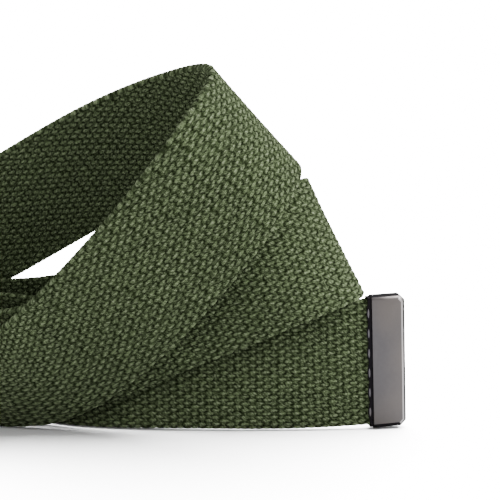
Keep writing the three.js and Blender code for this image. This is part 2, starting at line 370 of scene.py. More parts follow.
class BuckleSettings(bpy.types.PropertyGroup):
    """Sizes of the box buckle."""

    length: bpy.props.FloatProperty(
        name="Length", description="Length of the buckle along the strap", default=40 * MM, **LENGTH
    )
    metal: bpy.props.FloatProperty(
        name="Metal", description="Thickness of the buckle's sheet metal", default=1.2 * MM, **LENGTH
    )
    bend: bpy.props.FloatProperty(
        name="Bend", description="Outer radius of the buckle's two long bends", default=2 * MM, **LENGTH
    )
    passage: bpy.props.FloatProperty(
        name="Passage", description="Room between the face and the bar", default=5 * MM, **LENGTH
    )
    bar: bpy.props.FloatProperty(
        name="Bar", description="Diameter of the bar", default=4 * MM, **LENGTH
    )
    bar_inset: bpy.props.FloatProperty(
        name="Bar inset",
        description="Distance from the buckle's far end to the bar's middle",
        default=7 * MM,
        **LENGTH,
    )
    clamp: bpy.props.FloatProperty(
        name="Clamp",
        description="Length of the plate that holds the strap's end",
        default=12 * MM,
        **LENGTH,
    )
    margin: bpy.props.FloatProperty(
        name="Margin", description="How far the flanges reach past the bar", default=0.4 * MM, **LENGTH
    )


class StageSettings(bpy.types.PropertyGroup):
    """The floor, the lights and the camera."""

    floor_colour: bpy.props.FloatVectorProperty(
        name="Floor colour", description="Colour of the floor", default=(0.88, 0.88, 0.88, 1), **COLOUR
    )
    paleness: bpy.props.FloatProperty(
        name="Paleness", description="How bright the floor and the background look", default=17.0, min=0
    )
    bounce: bpy.props.FloatProperty(
        name="Bounce",
        description="Share of its light that the floor throws on the belt",
        default=0.065,
        min=0,
    )
    surround: bpy.props.FloatProperty(
        name="Surround", description="Strength of the even light from all round", default=0.3, min=0
    )
    camera_distance: bpy.props.FloatProperty(
        name="Camera distance",
        description="Distance from the camera to the middle of the view",
        default=0.33,
        **LENGTH,
    )
    camera_height: bpy.props.FloatProperty(
        name="View height",
        description="Height of the middle of the view above the belt's lowest edge",
        default=53.4 * MM,
        **LENGTH,
    )
    camera_elevation: bpy.props.FloatProperty(
        name="Camera elevation",
        description="Angle of the view above the horizon",
        default=math.radians(10),
        subtype="ANGLE",
        unit="ROTATION",
    )
    camera_lens: bpy.props.FloatProperty(
        name="Lens", description="Focal length of the camera, in millimetres", default=82.7, min=10
    )


def setting(name):
    return getattr(bpy.context.scene, "web_belt_" + name)


def natural_spline(knots, rows):
    """A smooth curve through rows of numbers, one row at each knot, as a function of arrays."""
    knots = np.array(knots)
    rows = np.array(rows, float)
    gap = np.diff(knots)
    slope = np.diff(rows, axis=0) / gap[:, None]
    size = len(knots)
    system = np.eye(size)
    known = np.zeros_like(rows)
    for i in range(1, size - 1):
        system[i, i - 1 : i + 2] = gap[i - 1], 2 * (gap[i - 1] + gap[i]), gap[i]
        known[i] = 6 * (slope[i] - slope[i - 1])
    bend = np.linalg.solve(system, known)

    def at(places):
        i = np.clip(np.searchsorted(knots, places) - 1, 0, size - 2)
        b = ((places - knots[i]) / gap[i])[:, None]
        a = 1 - b
        cubic = (a**3 - a) * bend[i] + (b**3 - b) * bend[i + 1]
        return a * rows[i] + b * rows[i + 1] + cubic * gap[i][:, None] ** 2 / 6

    return at


def unit(vectors):
    return vectors / np.linalg.norm(vectors, axis=1, keepdims=True)


def across_to(vectors, ahead):
    """The vectors made square to the way ahead."""
    return unit(vectors - ahead * np.sum(vectors * ahead, axis=1, keepdims=True))


def way_along(points):
    """How far along the line through the points each one is."""
    return np.concatenate([[0], np.cumsum(np.linalg.norm(np.diff(points, axis=0), axis=1))])


def strap_route(step, web_width):
    """The middle, the way ahead, the width's direction and the outward direction at even steps along
    the strap, and the strap's length."""
    rows = []
    for i, (along, layer, depth, height, tilt, lean, lift) in enumerate(STATIONS):
        metal = TIP_LIFT if i < len(STATIONS) / 2 else BUCKLE_LIFT
        rows.append(
            (
                along * COIL_LENGTH,
                layer * LAYER_PITCH + depth * COIL_DEPTH,
                height * web_width + lift * metal,
                math.radians(tilt),
                math.radians(lean),
            )
        )
    knots = way_along(np.array(rows)[:, :3])
    fine = natural_spline(knots, rows)(np.linspace(0, knots[-1], FINE_STEPS + 1))
    middle = fine[:, :3]
    up = np.stack([-np.tan(fine[:, 3]), -np.tan(fine[:, 4]), np.ones(len(fine))], axis=1)
    run = way_along(middle)
    count = 2 * round(run[-1] / step / 2)
    even = np.linspace(0, run[-1], count + 1)
    middle = np.stack([np.interp(even, run, middle[:, c]) for c in range(3)], axis=1)
    up = np.stack([np.interp(even, run, up[:, c]) for c in range(3)], axis=1)
    ahead = unit(np.gradient(middle, axis=0))
    up = across_to(up, ahead)
    return middle, ahead, up, np.cross(ahead, up), run[-1]


def frame_shift(web):
    """How far the route has to move to lie in the CAD strap."""
    middle, _, up, out, _ = strap_route(web.pick_pitch / 2, web.width)
    low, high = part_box("webbing_strap")
    corners = np.concatenate(
        [
            middle + side * up * web.width / 2 + face * out * web.thickness / 2
            for side in (-1, 1)
            for face in (-1, 1)
        ]
    )
    mine_low, mine_high = corners.min(axis=0), corners.max(axis=0)
    shift_x = low.x - mine_low[0]
    shift_y = (low.y - mine_low[1] + high.y - mine_high[1]) / 2
    shift_z = low.z - mine_low[2]
    return np.array([shift_x, shift_y, shift_z])


def placed_route(web):
    """The strap's route in half picks, where it belongs in the frame."""
    middle, ahead, up, out, length = strap_route(web.pick_pitch / 2, web.width)
    return middle + frame_shift(web), ahead, up, out, length


def clear_selection():
    if bpy.context.mode != "OBJECT":
        bpy.ops.object.mode_set(mode="OBJECT")
    bpy.ops.object.select_all(action="DESELECT")


def select_only(piece):
    clear_selection()
    bpy.context.view_layer.objects.active = piece
    piece.select_set(True)


def add_object(name, data):
    made = bpy.data.objects.new(name, data)
    bpy.context.scene.collection.objects.link(made)
    return made


def new_mesh_object(name, points, faces, material, uv_name, uvs):
    mesh = bpy.data.meshes.new(name)
    mesh.from_pydata(points, [], faces)
    mesh.polygons.foreach_set("use_smooth", [True] * len(mesh.polygons))
    layer = mesh.uv_layers.new(name=uv_name)
    layer.data.foreach_set("uv", np.array(uvs, np.float32).ravel())
    mesh.materials.append(material)
    mesh.update()
    return add_object(name, mesh)


def band_section(web):
    """The webbing's section as rows of (across, outward, thread, face): once round it, in metres.
    thread counts the lengthwise threads, and face is 1 on the outer face, -1 on the inner one
    and 0 on the selvedges."""
    flat = web.width / 2 - web.edge_rounding
    deep = web.thickness / 2
    pitch = 2 * flat / web.ends
    rows = []
    for side, first, last in ((1, 0, web.ends), (-1, web.ends + 1, 1)):
        for k in range(web.ends + 1):
            rows.append((side * (pitch * k - flat), side * deep, first + side * k, side))
        for angle in SELVEDGE_TURNS:
            a = math.radians(angle)
            across = side * (flat + web.edge_rounding * math.sin(a))
            rows.append((across, side * deep * math.cos(a), last + side * angle / 180, 0))
    return rows


def uneven_threads(rows, around, stray):
    """How far each place on the webbing strays along and across the strap, and how full its nub is."""
    chance = np.random.default_rng(SEED)
    along_by_pick = np.repeat(chance.normal(0, stray, rows // 2 + 1), 2)[:rows, None]
    along = along_by_pick + chance.normal(0, stray / 2, (rows, around))
    across = chance.normal(0, stray / 2, around)[None, :] + chance.normal(0, stray / 2, (rows, around))
    swell = chance.uniform(*NUB_FULLNESS, (rows, around))
    ends = [0, 1, rows - 2, rows - 1]
    along[ends] = 0
    return along, across, swell


def strap_mesh(web, material):
    """The strap as one closed skin whose faces rise and sink with the weave."""
    middle, ahead, up, out, length = placed_route(web)
    across, outward, thread, face = np.array(band_section(web)).T
    picks = np.arange(len(middle)) / 2
    stray_along, stray_across, swell = uneven_threads(len(middle), len(thread), web.unevenness)
    on_face = (face != 0)[None, :]
    weave = np.cos(np.pi * picks)[:, None] * np.cos(np.pi * thread)[None, :]
    rise = web.nub_height * weave * swell * on_face
    scallop = web.nub_height / 2 * np.cos(2 * np.pi * picks)[:, None] * ~on_face
    push_out = outward[None, :] + rise * np.sign(outward)[None, :]
    push_across = across[None, :] + scallop * np.sign(across)[None, :] + stray_across * on_face
    points = (
        middle[:, None, :]
        + ahead[:, None, :] * stray_along[:, :, None]
        + up[:, None, :] * push_across[:, :, None]
        + out[:, None, :] * push_out[:, :, None]
    )
    rows, around = points.shape[:2]
    row_start = np.arange(rows - 1)[:, None] * around
    a = row_start + np.arange(around)
    b = row_start + np.roll(np.arange(around), -1)
    quads = np.stack([a, a + around, b + around, b], axis=-1).reshape(-1, 4)
    u, v, w = np.broadcast_arrays(picks[:-1, None], thread, np.roll(thread, -1))
    corners = [(u, v), (u + 0.5, v), (u + 0.5, w), (u, w)]
    uvs = np.stack([np.stack(corner, -1) for corner in corners], axis=2).reshape(-1, 2)
    last = (rows - 1) * around
    faces = quads.tolist()
    faces.append(list(range(around)))
    faces.append([last + k for k in reversed(range(around))])
    ends = [(0.0, t) for t in thread] + [(picks[-1], t) for t in thread[::-1]]
    uvs = np.concatenate([uvs, np.array(ends)])
    piece = new_mesh_object("woven_strap", points.reshape(-1, 3).tolist(), faces, material, "weave", uvs)
    return piece, length


def end_frame(point, out_of_end, up):
    """A frame at one end of the strap: x out of the end, z along the strap's width."""
    x = Vector(out_of_end)
    up = Vector(up)
    x = (x - up * x.dot(up)).normalized()
    y = up.cross(x)
    turn = Matrix((x, y, up)).transposed().to_4x4()
    return Matrix.Translation(Vector(point)) @ turn


def name_new(name):
    """The primitive that was just added, named and with its place in its mesh."""
    bpy.ops.object.transform_apply(location=True, rotation=True, scale=True)
    bpy.context.object.name = name
    return bpy.context.object


def add_block(name, low, high):
    """A block from its lowest to its highest corner."""
    clear_selection()
    middle = [(a + b) / 2 for a, b in zip(low, high)]
    sizes = [b - a for a, b in zip(low, high)]
    bpy.ops.mesh.primitive_cube_add(size=1, location=middle, scale=sizes)
    return name_new(name)


def edit(piece, kind):
    """Open the piece in edit mode with nothing selected. kind is VERT, EDGE or FACE."""
    select_only(piece)
    bpy.ops.object.mode_set(mode="EDIT")
    bpy.ops.mesh.select_mode(type=kind)
    bpy.ops.mesh.select_all(action="DESELECT")


def pick(piece, parts, wanted):
    """Select the parts that are wanted, and no others."""
    for part in parts:
        part.select_set(False)
    for part in parts:
        if wanted(part):
            part.select_set(True)
    bmesh.update_edit_mesh(piece.data)


def pick_faces(piece, wanted):
    """Select the faces whose middle and normal are wanted."""
    shape = bmesh.from_edit_mesh(piece.data)
    pick(piece, shape.faces, lambda face: wanted(face.calc_center_median(), face.normal))


def pick_edges(piece, wanted):
    """Select the edges whose middle and direction are wanted."""

    def is_wanted(edge):
        start, end = (corner.co for corner in edge.verts)
        return wanted((start + end) / 2, (end - start).normalized())

    shape = bmesh.from_edit_mesh(piece.data)
    pick(piece, shape.edges, is_wanted)


def pick_corners(piece, wanted):
    """Select the corners whose place is wanted, and no others."""
    shape = bmesh.from_edit_mesh(piece.data)
    for corner in shape.verts:
        corner.select_set(wanted(corner.co))
    shape.select_flush_mode()
    bmesh.update_edit_mesh(piece.data)


def bevel(width, segments):
    bpy.ops.mesh.bevel(offset=width, offset_type="OFFSET", segments=segments, clamp_overlap=True)


def leave_edit():
    bpy.ops.object.mode_set(mode="OBJECT")


def thicken(piece, metal):
    """Give an open sheet its metal's thickness, inwards."""
    select_only(piece)
    sheet = piece.modifiers.new("metal", "SOLIDIFY")
    sheet.thickness = metal
    sheet.offset = -1
    sheet.use_even_offset = True
    bpy.ops.object.modifier_apply(modifier=sheet.name)


def soften(piece, width, segments, sharper_than):
    """Bevel the piece's sharp edges, and smooth the shading over what isn't sharp."""
    select_only(piece)
    rounding = piece.modifiers.new("rounding", "BEVEL")
    rounding.width = width
    rounding.segments = segments
    rounding.limit_method = "ANGLE"
    rounding.angle_limit = sharper_than
    bpy.ops.object.modifier_apply(modifier=rounding.name)
    bpy.ops.object.shade_smooth_by_angle(angle=sharper_than)


def join(pieces):
    """The pieces as one, under the first one's name."""
    clear_selection()
    for piece in pieces:
        piece.select_set(True)
    bpy.context.view_layer.objects.active = pieces[0]
    bpy.ops.object.join()
    return pieces[0]


def copy_at(piece, by):
    """A copy of the piece with its own mesh, moved by so much."""
    mesh = piece.data.copy()
    mesh.transform(Matrix.Translation(Vector(by)))
    return add_object(piece.name, mesh)


def settle(piece, place):
    """Put the finished piece where it belongs, with its place in its mesh and its faces outwards."""
    piece.matrix_world = place
    select_only(piece)
    bpy.ops.object.transform_apply(location=True, rotation=True, scale=True)
    bpy.ops.object.mode_set(mode="EDIT")
    bpy.ops.mesh.select_all(action="SELECT")
    bpy.ops.mesh.normals_make_consistent(inside=False)
    leave_edit()


def feed(tree, socket, value):
    """A socket takes a number, a vector or another socket."""
    if isinstance(value, bpy.types.NodeSocket):
        tree.links.new(value, socket)
    elif value is not None:
        socket.default_value = value


def math_node(tree, operation, a, b=None, c=None):
    node = tree.nodes.new("ShaderNodeMath")
    node.operation = operation
    for socket, value in zip(node.inputs, (a, b, c)):
        feed(tree, socket, value)
    return node.outputs[0]


def vector_node(tree, operation, a, b=None, scale=None):
    node = tree.nodes.new("ShaderNodeVectorMath")
    node.operation = operation
    feed(tree, node.inputs[0], a)
    feed(tree, node.inputs[1], b)
    feed(tree, node.inputs[3], scale)
    return node.outputs[0]


def map_range(tree, value, from_low, from_high, to_low, to_high, smooth=False):
    node = tree.nodes.new("ShaderNodeMapRange")
    node.interpolation_type = "SMOOTHSTEP" if smooth else "LINEAR"
    for socket, entry in zip(node.inputs, (value, from_low, from_high, to_low, to_high)):
        feed(tree, socket, entry)
    return node.outputs[0]


def mix_colour(tree, factor, a, b, blend="MIX"):
    node = tree.nodes.new("ShaderNodeMix")
    node.data_type = "RGBA"
    node.blend_type = blend
    feed(tree, node.inputs[0], factor)
    feed(tree, node.inputs[6], a)
    feed(tree, node.inputs[7], b)
    return node.outputs[2]


def new_group(name, inputs, outputs):
    """A node group and its input and output nodes. Its sockets take numbers, but for the inputs with
    no default, which take vectors."""
    tree = bpy.data.node_groups.new(name, "ShaderNodeTree")
    for label, default in inputs.items():
        kind = "NodeSocketVector" if default is None else "NodeSocketFloat"
        socket = tree.interface.new_socket(label, in_out="INPUT", socket_type=kind)
        if default is not None:
            socket.default_value = default
    for label in outputs:
        tree.interface.new_socket(label, in_out="OUTPUT", socket_type="NodeSocketFloat")
    return tree, tree.nodes.new("NodeGroupInput"), tree.nodes.new("NodeGroupOutput")


def noise_node(tree, place, scale, detail):
    node = tree.nodes.new("ShaderNodeTexNoise")
    node.inputs["Scale"].default_value = scale
    node.inputs["Detail"].default_value = detail
    feed(tree, node.inputs["Vector"], place)
    return node


def split_vector(tree, value):
    node = tree.nodes.new("ShaderNodeSeparateXYZ")
    feed(tree, node.inputs[0], value)
    return node.outputs


def join_vector(tree, x, y):
    node = tree.nodes.new("ShaderNodeCombineXYZ")
    feed(tree, node.inputs[0], x)
    feed(tree, node.inputs[1], y)
    return node.outputs[0]


def grey(tree, value):
    node = tree.nodes.new("ShaderNodeCombineColor")
    for socket in node.inputs:
        feed(tree, socket, value)
    return node.outputs[0]


def crown_mask(tree, du, dv, length, width):
    """1 on the middle of a crown, a half at its length and width from there, and 0 further out."""
    far_u = math_node(tree, "POWER", math_node(tree, "DIVIDE", du, length), 2)
    far_v = math_node(tree, "POWER", math_node(tree, "DIVIDE", dv, width), 2)
    far = math_node(tree, "POWER", math_node(tree, "ADD", far_u, far_v), CROWN_POWER)
    return math_node(tree, "POWER", 0.5, far)


def nearest_crossing(tree, u, v):
    """The whole-numbered place nearest to u and v whose two numbers add up to an even one."""
    p = math_node(tree, "ROUND", math_node(tree, "MULTIPLY", math_node(tree, "ADD", u, v), 0.5))
    q = math_node(tree, "ROUND", math_node(tree, "MULTIPLY", math_node(tree, "SUBTRACT", u, v), 0.5))
    chance = tree.nodes.new("ShaderNodeTexWhiteNoise")
    chance.noise_dimensions = "2D"
    feed(tree, chance.inputs["Vector"], join_vector(tree, p, q))
    du = math_node(tree, "SUBTRACT", u, math_node(tree, "ADD", p, q))
    dv = math_node(tree, "SUBTRACT", v, math_node(tree, "SUBTRACT", p, q))
    return du, dv, chance


def plain_weave_group():
    """A plain weave. Threads counts the crosswise threads in x and the lengthwise ones in y. Where the
    two whole numbers add up to an even one a lengthwise thread is on top, and elsewhere a crosswise
    one, lower down. Height is about 1 on the highest threads, Nub is a mask of both kinds, Chance
    differs nub by nub and Fuzz fibre by fibre."""
    name = "Plain weave"
    if name in bpy.data.node_groups:
        return bpy.data.node_groups[name]
    inputs = {"Threads": None, **WEAVE_LOOK}
    tree, start, end = new_group(name, inputs, ("Height", "Nub", "Chance", "Fuzz"))
    wander = noise_node(tree, start.outputs["Threads"], WANDER_SCALE, 2)
    offset = vector_node(tree, "SUBTRACT", wander.outputs["Color"], (0.5, 0.5, 0.5))
    offset = vector_node(tree, "SCALE", offset, scale=start.outputs["Wobble"])
    threads = vector_node(tree, "ADD", start.outputs["Threads"], offset)
    u, v, _ = split_vector(tree, threads)
    du, dv, chance = nearest_crossing(tree, u, v)
    first, second, third = split_vector(tree, chance.outputs["Color"])
    du = math_node(tree, "ADD", du, map_range(tree, first, 0, 1, -STRAY_ALONG, STRAY_ALONG))
    dv = math_node(tree, "ADD", dv, map_range(tree, second, 0, 1, -STRAY_ACROSS, STRAY_ACROSS))
    dv = math_node(tree, "MULTIPLY_ADD", du, start.outputs["Slant"], dv)
    nub = crown_mask(tree, du, dv, start.outputs["Nub length"], start.outputs["Nub width"])
    cross_du, cross_dv, _ = nearest_crossing(tree, math_node(tree, "ADD", u, 1), v)
    cross = crown_mask(tree, cross_du, cross_dv, CROSS_LENGTH, CROSS_WIDTH)
    cross = math_node(tree, "MULTIPLY", cross, start.outputs["Cross height"])
    aslant = [
        math_node(tree, "MULTIPLY_ADD", v, across, math_node(tree, "MULTIPLY", u, along))
        for along, across in FIBRE_WAYS
    ]
    fibres = noise_node(tree, join_vector(tree, *aslant), FIBRE_SCALE, 2)
    fuzz = map_range(tree, fibres.outputs["Fac"], *FIBRE_SPREAD, 0, 1)
    tall = map_range(tree, third, 0, 1, *NUB_TALLNESS)
    height = math_node(tree, "ADD", math_node(tree, "MULTIPLY", nub, tall), cross)
    height = math_node(tree, "MULTIPLY_ADD", fuzz, FIBRE_HEIGHT, height)
    beside = math_node(tree, "ABSOLUTE", math_node(tree, "SUBTRACT", v, math_node(tree, "ROUND", v)))
    depth = start.outputs["Groove"]
    groove = map_range(tree, beside, GROOVE_FROM, GROOVE_DEEPEST, 0, depth, smooth=True)
    height = math_node(tree, "SUBTRACT", height, groove)
    feed(tree, end.inputs["Height"], height)
    top = math_node(tree, "ADD", nub, cross)
    top = math_node(tree, "MULTIPLY", top, math_node(tree, "SUBTRACT", 1.0, groove))
    feed(tree, end.inputs["Nub"], map_range(tree, top, 0, NUB_WHOLE_FROM, 0, 1))
    feed(tree, end.inputs["Chance"], chance.outputs["Value"])
    feed(tree, end.inputs["Fuzz"], fuzz)
    return tree


def new_material(name):
    material = bpy.data.materials.new(name)
    material.use_nodes = True
    tree = material.node_tree
    shader = tree.nodes["Principled BSDF"]
    return material, tree, shader


def webbing_material(web):
    """Olive cotton: pale nubs over grooves darkened by painted shade, with pale stray fibres and painted
    glints and a soft sheen on the nubs.
    """
    material, tree, shader = new_material("olive_webbing")
    threads = tree.nodes.new("ShaderNodeUVMap")
    threads.uv_map = "weave"
    weave = tree.nodes.new("ShaderNodeGroup")
    weave.node_tree = plain_weave_group()
    feed(tree, weave.inputs["Threads"], threads.outputs[0])
    # Painted shade: the colour darkens from the nubs into the grooves between them.
    colour = mix_colour(tree, weave.outputs["Nub"], tuple(web.painted_groove_shade_colour), tuple(web.nub_colour))
    nub_light = map_range(tree, weave.outputs["Chance"], 0, 1, *NUB_LIGHT)
    fibre_light = map_range(tree, weave.outputs["Fuzz"], 0, 1, *FIBRE_LIGHT)
    light = math_node(tree, "MULTIPLY", nub_light, fibre_light)
    colour = mix_colour(tree, 1.0, colour, grey(tree, light), blend="MULTIPLY")
    fuzz = weave.outputs["Fuzz"]
    # Partly painted highlight: pale fibres, with glints painted on the nub tops.
    fibre_glint = map_range(tree, fuzz, FIBRE_GLINT_FROM, 1, 0, FIBRE_GLINT_SHARE, smooth=True)
    fibre_glint = math_node(tree, "MULTIPLY", fibre_glint, weave.outputs["Nub"])
    colour = mix_colour(tree, fibre_glint, colour, tuple(web.fibre_and_glint_colour))
    feed(tree, shader.inputs["Base Color"], colour)
    for label, value in COTTON.items():
        shader.inputs[label].default_value = value
    for label, most in NUB_SHINE.items():
        feed(tree, shader.inputs[label], map_range(tree, weave.outputs["Nub"], 0, 1, 0, most))
    bump = tree.nodes.new("ShaderNodeBump")
    bump.inputs["Distance"].default_value = RELIEF
    bump.inputs["Strength"].default_value = 1.0
    feed(tree, bump.inputs["Height"], weave.outputs["Height"])
    feed(tree, shader.inputs["Normal"], bump.outputs[0])
    return material


def satin_metal(name, colour, roughness, grain):
    """A satin metal that is cooler and warmer in soft clouds of painted reflection, with a fine uneven
    grain in its gloss.
    """
    material, tree, shader = new_material(name)
    shader.inputs["Metallic"].default_value = 1.0
    place = tree.nodes.new("ShaderNodeTexCoord")
    clouds = noise_node(tree, place.outputs["Object"], CLOUD_SCALE, 1)
    cool = (*(part * share for part, share in zip(colour, COOL_TONE)), 1)
    warm = (*(part * share for part, share in zip(colour, WARM_TONE)), 1)
    tone = map_range(tree, clouds.outputs["Fac"], *CLOUD_SPREAD, 0, 1)
    feed(tree, shader.inputs["Base Color"], mix_colour(tree, tone, cool, warm))
    noise = noise_node(tree, place.outputs["Object"], GRAIN_SCALE, 3)
    gloss = map_range(tree, noise.outputs["Fac"], *GRAIN_SPREAD, roughness - grain, roughness + grain)
    feed(tree, shader.inputs["Roughness"], gloss)
    return material


def studio_floor(colour, bounce):
    """A matt floor. It throws back less light on the belt than its look would, as a far-off one does."""
    material, tree, shader = new_material("pale_floor")
    rays = tree.nodes.new("ShaderNodeLightPath")
    seen = mix_colour(tree, rays.outputs["Is Camera Ray"], (bounce, bounce, bounce, 1), tuple(colour))
    feed(tree, shader.inputs["Base Color"], seen)
    shader.inputs["Roughness"].default_value = 1.0
    shader.inputs["Specular IOR Level"].default_value = 0.0
    return material


def studio_world(paleness, surround):
    """An even white surround that is plain and pale behind the belt."""
    world = bpy.data.worlds.new("studio")
    world.use_nodes = True
    tree = world.node_tree
    background = tree.nodes["Background"]
    background.inputs["Color"].default_value = (1, 1, 1, 1)
    rays = tree.nodes.new("ShaderNodeLightPath")
    strength = map_range(tree, rays.outputs["Is Camera Ray"], 0, 1, surround, paleness)
    feed(tree, background.inputs["Strength"], strength)
    return world


class WEBBELT_OT_strap(bpy.types.Operator):
    """Weave the strap along its coiled route"""

    bl_idname = "web_belt.strap"
    bl_label = "Build the strap"
    bl_options = {"REGISTER", "UNDO"}

    def execute(self, context):
        web = setting("webbing")
        strap, length = strap_mesh(web, webbing_material(web))
        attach(strap, "root")
        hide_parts("webbing_strap")
        return {"FINISHED"}


def folded_cap(web, tip, mouth):
    """The tip's cap: its far corners are cut, its edges folded round and its mouth left open."""
    reach = tip.metal + CLEARANCE
    half = web.width / 2 + reach
    deep = web.thickness / 2 + reach
    cap = add_block("folded_tip", (mouth, -deep, -half), (reach, deep, half))
    edit(cap, "EDGE")
    pick_edges(cap, lambda at, way: abs(way.y) > ALONG and at.x > reach - HAIR)
    bevel(tip.corner, segments=1)
    pick_edges(cap, lambda at, way: abs(way.y) < ACROSS and at.x > mouth + HAIR)
    bevel(tip.fold, segments=4)
    bpy.ops.mesh.select_mode(type="FACE")
    pick_faces(cap, lambda at, way: way.x < -ALONG)
    bpy.ops.mesh.delete(type="ONLY_FACE")
    leave_edit()
    return cap


def is_painted_shade(at, way):
    """Painted shade: the tip is painted dark on its top and bottom, round its lower fold and down its far
    end, for the shade and dark reflections on its turned faces.
    """
    on_cut_corner = abs(way.z) > 0.5 and way.x > 0.5
    on_top = way.z > 0.7
    on_lower_fold = way.z < -0.15
    on_far_end = way.x > 0.45
    return not on_cut_corner and (on_top or on_lower_fold or on_far_end)


def is_painted_highlight(at, way):
    """Painted highlight: the tip's far folds are painted bright on the side of the faces, where they
    catch the light.
    """
    on_far_fold = 0.1 < way.x < 0.45
    on_upright_fold = abs(way.z) < 0.3
    return on_far_fold and on_upright_fold


def lip_sides(web):
    """Half of the lip's depth and half of its width."""
    round_webbing = web.nub_height + LIP_METAL
    return web.thickness / 2 + round_webbing, web.width / 2 + round_webbing


def crimped_lip(web, tip, mouth):
    """The lip that grips the webbing: a flat tube that stands out of the cap's mouth in waves."""
    deep, half = lip_sides(web)
    edge = mouth - tip.lip
    lip = add_block("crimped_lip", (edge, -deep, -half), (mouth + LIP_OVERLAP, deep, half))
    edit(lip, "FACE")
    pick_faces(lip, lambda at, way: abs(way.x) > ALONG)
    bpy.ops.mesh.delete(type="ONLY_FACE")
    bpy.ops.mesh.select_mode(type="EDGE")
    pick_edges(lip, lambda at, way: abs(way.z) > ALONG)
    cuts = tip.crimps * CRIMP_STEPS
    bpy.ops.mesh.subdivide(number_cuts=cuts - 1)
    bpy.ops.mesh.select_mode(type="VERT")
    reach = half - LIP_MARGIN
    for step in range(1, cuts):
        height = half - 2 * half * step / cuts
        if abs(height) < reach:
            wave = (1 - math.cos(math.pi * tip.crimps * (reach - height) / reach)) / 2
            pick_corners(lip, lambda at: at.x < edge + HAIR and abs(at.z - height) < HAIR)
            bpy.ops.transform.translate(value=(-tip.crimp_depth * wave, 0, 0))
    leave_edit()
    return lip


def crimp_mark():
    """One lens-shaped crimp, raised a little on both faces, in the middle of its place."""
    clear_selection()
    bpy.ops.mesh.primitive_cylinder_add(
        vertices=MARK_SIDES, radius=MARK_HEIGHT / 2, depth=LIP_METAL, rotation=(math.pi / 2, 0, 0)
    )
    mark = name_new("crimp_mark")
    edit(mark, "FACE")
    bpy.ops.mesh.select_all(action="SELECT")
    bpy.ops.transform.resize(value=(MARK_WIDTH / MARK_HEIGHT, 1, 1))
    for side in (-1, 1):
        pick_faces(mark, lambda at, way: way.y * side > ALONG)
        bpy.ops.mesh.inset(thickness=MARK_WIDTH * MARK_BEVEL)
        bpy.ops.transform.translate(value=(0, side * MARK_RISE, 0))
    leave_edit()
    return mark


def crimp_marks(web, tip, mouth, worn):
    """The crimps along the lip, a row on each face."""
    mark = crimp_mark()
    mark.data.materials.append(worn)
    bpy.ops.object.shade_smooth_by_angle(angle=SHARP_ON_CRIMP)
    x = mouth - tip.lip - tip.crimp_depth + MARK_INSET
    y, half = lip_sides(web)
    reach = half - LIP_MARGIN
    pitch = 2 * reach / tip.crimps
    marks = [
        copy_at(mark, (x, side * y, reach - pitch * (k + 0.5)))
        for side in (-1, 1)
        for k in range(tip.crimps)
    ]
    bpy.data.objects.remove(mark)
    return marks


class WEBBELT_OT_end_tip(bpy.types.Operator):
    """Fold the sheet-metal tip over the strap's free end"""

    bl_idname = "web_belt.end_tip"
    bl_label = "Build the end tip"
    bl_options = {"REGISTER", "UNDO"}

    def execute(self, context):
        web = setting("webbing")
        tip = setting("tip")
        mouth = tip.metal + CLEARANCE - tip.length + tip.crimp_depth + tip.lip
        satin = satin_metal("satin_gunmetal", tip.face_colour, roughness=0.42, grain=0.06)
        dark = satin_metal("dark_lip_and_painted_shade_metal", tip.dark_lip_and_painted_shade_colour, roughness=0.45, grain=0.05)
        worn = satin_metal("worn_metal", tip.worn_colour, roughness=0.42, grain=0.06)
        bright = satin_metal("painted_highlight_metal", tip.painted_highlight_colour, roughness=0.35, grain=0.05)

        cap = folded_cap(web, tip, mouth)
        for finish in (satin, dark, bright):
            cap.data.materials.append(finish)
        edit(cap, "FACE")
        # Painted shade and painted highlight: the cap's faces are coloured dark or bright by which way
        # they face.
        for index, wanted in ((1, is_painted_shade), (2, is_painted_highlight)):
            cap.active_material_index = index
            pick_faces(cap, wanted)
            bpy.ops.object.material_slot_assign()
        leave_edit()
        thicken(cap, tip.metal)
        soften(cap, width=tip.metal * CAP_BEVEL, segments=2, sharper_than=SHARP_ON_SHEET)

        lip = crimped_lip(web, tip, mouth)
        lip.data.materials.append(dark)
        thicken(lip, LIP_METAL)
        soften(lip, width=LIP_METAL * LIP_BEVEL, segments=1, sharper_than=SHARP_ON_CRIMP)

        piece = join([cap, lip] + crimp_marks(web, tip, mouth, worn))
        middle, ahead, up, _, _ = placed_route(web)
        settle(piece, end_frame(middle[0], -ahead[0], up[0]))
        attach(piece, "root")
        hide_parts("end_tip")
        return {"FINISHED"}


def bent_channel(box, near, far, back, face, half):
    """The buckle's face and its two flanges, bent from one sheet."""
    channel = add_block("bent_buckle", (near, back, -half), (far, face, half))
    edit(channel, "FACE")
    pick_faces(channel, lambda at, way: way.y < -ALONG or abs(way.x) > ALONG)
    bpy.ops.mesh.delete(type="ONLY_FACE")
    bpy.ops.mesh.select_mode(type="EDGE")
    pick_edges(channel, lambda at, way: abs(way.x) > ALONG and at.y > face - HAIR)
    bevel(box.bend, segments=6)
    leave_edit()
    thicken(channel, box.metal)
    soften(channel, width=box.metal * SHEET_BEVEL, segments=2, sharper_than=SHARP_ON_SHEET)
    return channel


def clamp_plate(web, box, near, inner):
    """The plate behind the strap's end that holds it against the buckle's face."""
    front = -web.thickness / 2 - CLEARANCE
    plate = add_block("clamp_plate", (near, front - box.metal, -inner), (0, front, inner))
    soften(plate, width=box.metal * SHEET_BEVEL, segments=2, sharper_than=SHARP_ON_SHEET)
    return plate


def buckle_bar(box, far, back, inner):
    """The round bar between the flanges."""
    middle = (far - box.bar_inset, back + box.margin + box.bar / 2, 0)
    clear_selection()
    bpy.ops.mesh.primitive_cylinder_add(
        vertices=BAR_SIDES, radius=box.bar / 2, depth=2 * inner, location=middle
    )
    bar = name_new("buckle_bar")
    soften(bar, width=box.metal * BAR_BEVEL, segments=2, sharper_than=SHARP_ON_SHEET)
    return bar


